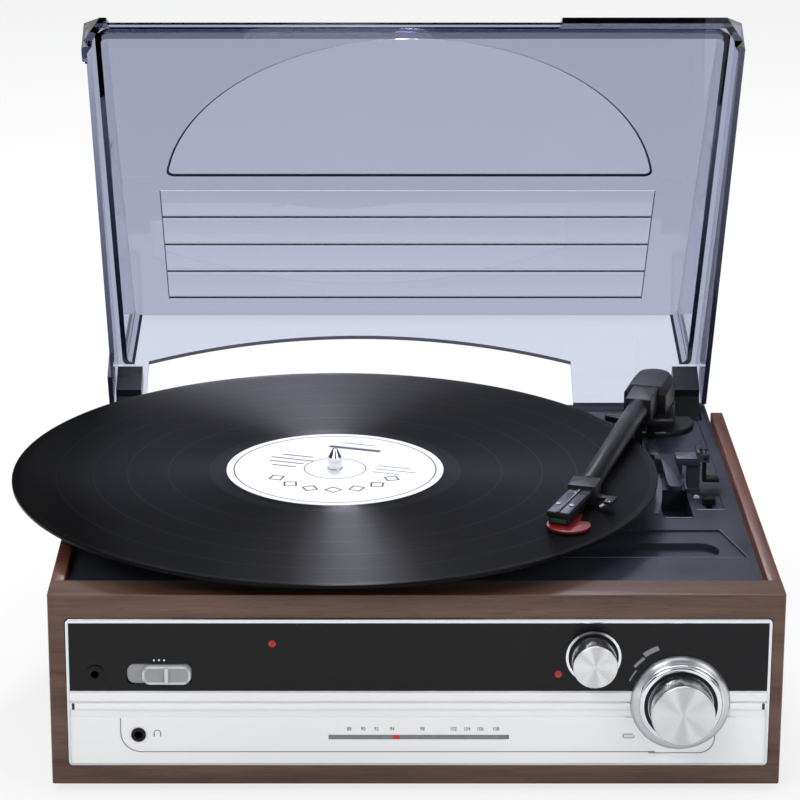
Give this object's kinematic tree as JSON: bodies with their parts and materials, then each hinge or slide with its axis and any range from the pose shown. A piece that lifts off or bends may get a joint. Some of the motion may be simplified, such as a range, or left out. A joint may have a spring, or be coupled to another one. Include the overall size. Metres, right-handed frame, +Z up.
{
  "type": "stereo music centre",
  "caption": "Turntable and FM radio in a wooden cabinet, with a hinged smoked lid, tonearm, rotary knobs and sockets.",
  "frame": {"origin": "middle of the underside of the wooden cabinet, above the feet", "axes": "+X to the right seen from the front, +Y to the back, +Z up along the spindle"},
  "size_m": [0.3462, 0.3526, 0.315],
  "materials": {
    "wood": "satin brown veneer",
    "charcoal_plastic": "fine textured charcoal",
    "black_plastic": "satin black",
    "gloss_black": "polished black",
    "silver_panel": "fine satin",
    "chrome_trim": "polished",
    "knob_metal": "spun face, polished side",
    "silver_plastic": "silver coating",
    "chassis_plastic": "moulded black",
    "rubber": "matte black",
    "steel": "bright",
    "hinge_steel": "zinc plated",
    "brass": "turned",
    "platter_metal": "cast and turned",
    "vinyl": "grooved black vinyl",
    "label_paper": "printed paper",
    "smoked_acrylic": "clear smoked",
    "hinge_plastic": "grey",
    "red_lens": "translucent red",
    "clear_lens": "frosted",
    "dial_glass": "smoked strip",
    "board_green": "solder mask"
  },
  "bodies": {
    "cabinet": {"front_frame": "wood", "left_side_board": "wood", "right_side_board": "wood", "base_board": "wood", "corner_blocks": "wood", "deck": "charcoal_plastic", "rear_cover": "charcoal_plastic", "tonearm_base": "charcoal_plastic", "arm_rest": "charcoal_plastic", "speaker_terminals": "black_plastic", "rear_sockets": "black_plastic", "speed_switch": "black_plastic", "selector_switch": "black_plastic", "volume_pot": "black_plastic", "aux_socket": "black_plastic", "headphone_socket": "black_plastic", "upper_panel": "gloss_black", "lower_panel": "silver_panel", "fascia_rail": "silver_panel", "fascia_trim": "chrome_trim", "volume_bezel": "chrome_trim", "tuning_bezel": "chrome_trim", "fascia_frame": "chassis_plastic", "feet": "rubber", "drive_belt": "rubber", "cabinet_screws": "steel", "hinge_pins": "steel", "motor": "steel", "pointer_rail": "steel", "tuning_capacitor": "steel", "hinge_brackets": "hinge_steel", "platter_bearing": "brass", "line_out_sockets": "brass", "power_led": "red_lens", "radio_led": "clear_lens", "dial_window": "dial_glass", "circuit_boards": "board_green"},
    "turntable": {"platter": "platter_metal", "spindle": "steel", "slip_mat": "rubber", "record": "vinyl", "record_label": "label_paper"},
    "pulley": {"motor_pulley": "brass"},
    "arm_turret": {"tonearm_turret": "black_plastic"},
    "arm": {"tonearm_housing": "black_plastic", "tonearm_tube": "black_plastic", "headshell": "black_plastic", "cartridge": "black_plastic", "stylus": "red_lens"},
    "cue_lever": {"cue_lever": "black_plastic"},
    "cue_pad": {"cue_pad": "black_plastic"},
    "arm_clip": {"arm_clip": "black_plastic"},
    "speed_selector": {"speed_selector": "silver_plastic"},
    "function_selector": {"function_selector": "silver_plastic"},
    "tuning": {"tuning_knob": "knob_metal", "tuning_drum": "chassis_plastic"},
    "volume": {"volume_knob": "knob_metal"},
    "pointer": {"dial_pointer": "red_lens"},
    "lid": {"lid": "smoked_acrylic", "lid_hinges": "hinge_plastic"}
  },
  "joints": [
    {"name": "platter_spin", "type": "hinge", "parent": "cabinet", "child": "turntable", "pos_m": [-0.0361, 0.0038, 0.094], "axis": [0, 0, 1], "continuous": true},
    {"name": "pulley_spin", "type": "hinge", "parent": "cabinet", "child": "pulley", "pos_m": [-0.09125, 0.05895, 0.09], "axis": [0, 0, 1], "continuous": true},
    {"name": "arm_swing", "type": "hinge", "parent": "cabinet", "child": "arm_turret", "pos_m": [0.1235, 0.12, 0.09], "axis": [0, 0, 1], "range_deg": [-22.3, 19.4]},
    {"name": "arm_lift", "type": "hinge", "parent": "arm_turret", "child": "arm", "pos_m": [0.1235, 0.12, 0.106], "axis": [0.9625, -0.2713, 0], "range_deg": [-6, 0]},
    {"name": "cue_lever_tilt", "type": "hinge", "parent": "cabinet", "child": "cue_lever", "pos_m": [0.1245, 0.048, 0.0892], "axis": [1, 0, 0], "range_deg": [0, 7.5]},
    {"name": "cue_pad_rise", "type": "slide", "parent": "cabinet", "child": "cue_pad", "axis": [0, 0, 1], "range_m": [0, 0.004]},
    {"name": "arm_clip_turn", "type": "hinge", "parent": "cabinet", "child": "arm_clip", "pos_m": [0.13917, 0.024, 0.1007], "axis": [0, -1, 0], "range_deg": [0, 180]},
    {"name": "speed_slide", "type": "slide", "parent": "cabinet", "child": "speed_selector", "axis": [0, 1, 0], "range_m": [-0.0045, 0.0045]},
    {"name": "function_slide", "type": "slide", "parent": "cabinet", "child": "function_selector", "axis": [1, 0, 0], "range_m": [-0.0068, 0]},
    {"name": "tuning_turn", "type": "hinge", "parent": "cabinet", "child": "tuning", "pos_m": [0.07669, -0.12, 0.06018], "axis": [0, 1, 0], "range_deg": [-176, 364]},
    {"name": "pointer_slide", "type": "slide", "parent": "cabinet", "child": "pointer", "axis": [1, 0, 0], "range_m": [-0.0216, 0.0446]},
    {"name": "volume_turn", "type": "hinge", "parent": "cabinet", "child": "volume", "pos_m": [0.11481, -0.12, 0.03869], "axis": [0, 1, 0], "range_deg": [-30, 270]},
    {"name": "lid_hinge", "type": "hinge", "parent": "cabinet", "child": "lid", "pos_m": [0, 0.1355, 0.0782], "axis": [1, 0, 0], "range_deg": [0, 62.2]}
  ],
  "couplings": [
    {"joint": "pulley_spin", "follows": "platter_spin", "ratio": 13.778},
    {"joint": "cue_lever_tilt", "follows": "arm_lift", "ratio": -1.25},
    {"joint": "cue_pad_rise", "follows": "arm_lift", "m_per_rad": -0.0381},
    {"joint": "pointer_slide", "follows": "tuning_turn", "m_per_rad": 0.007}
  ]
}
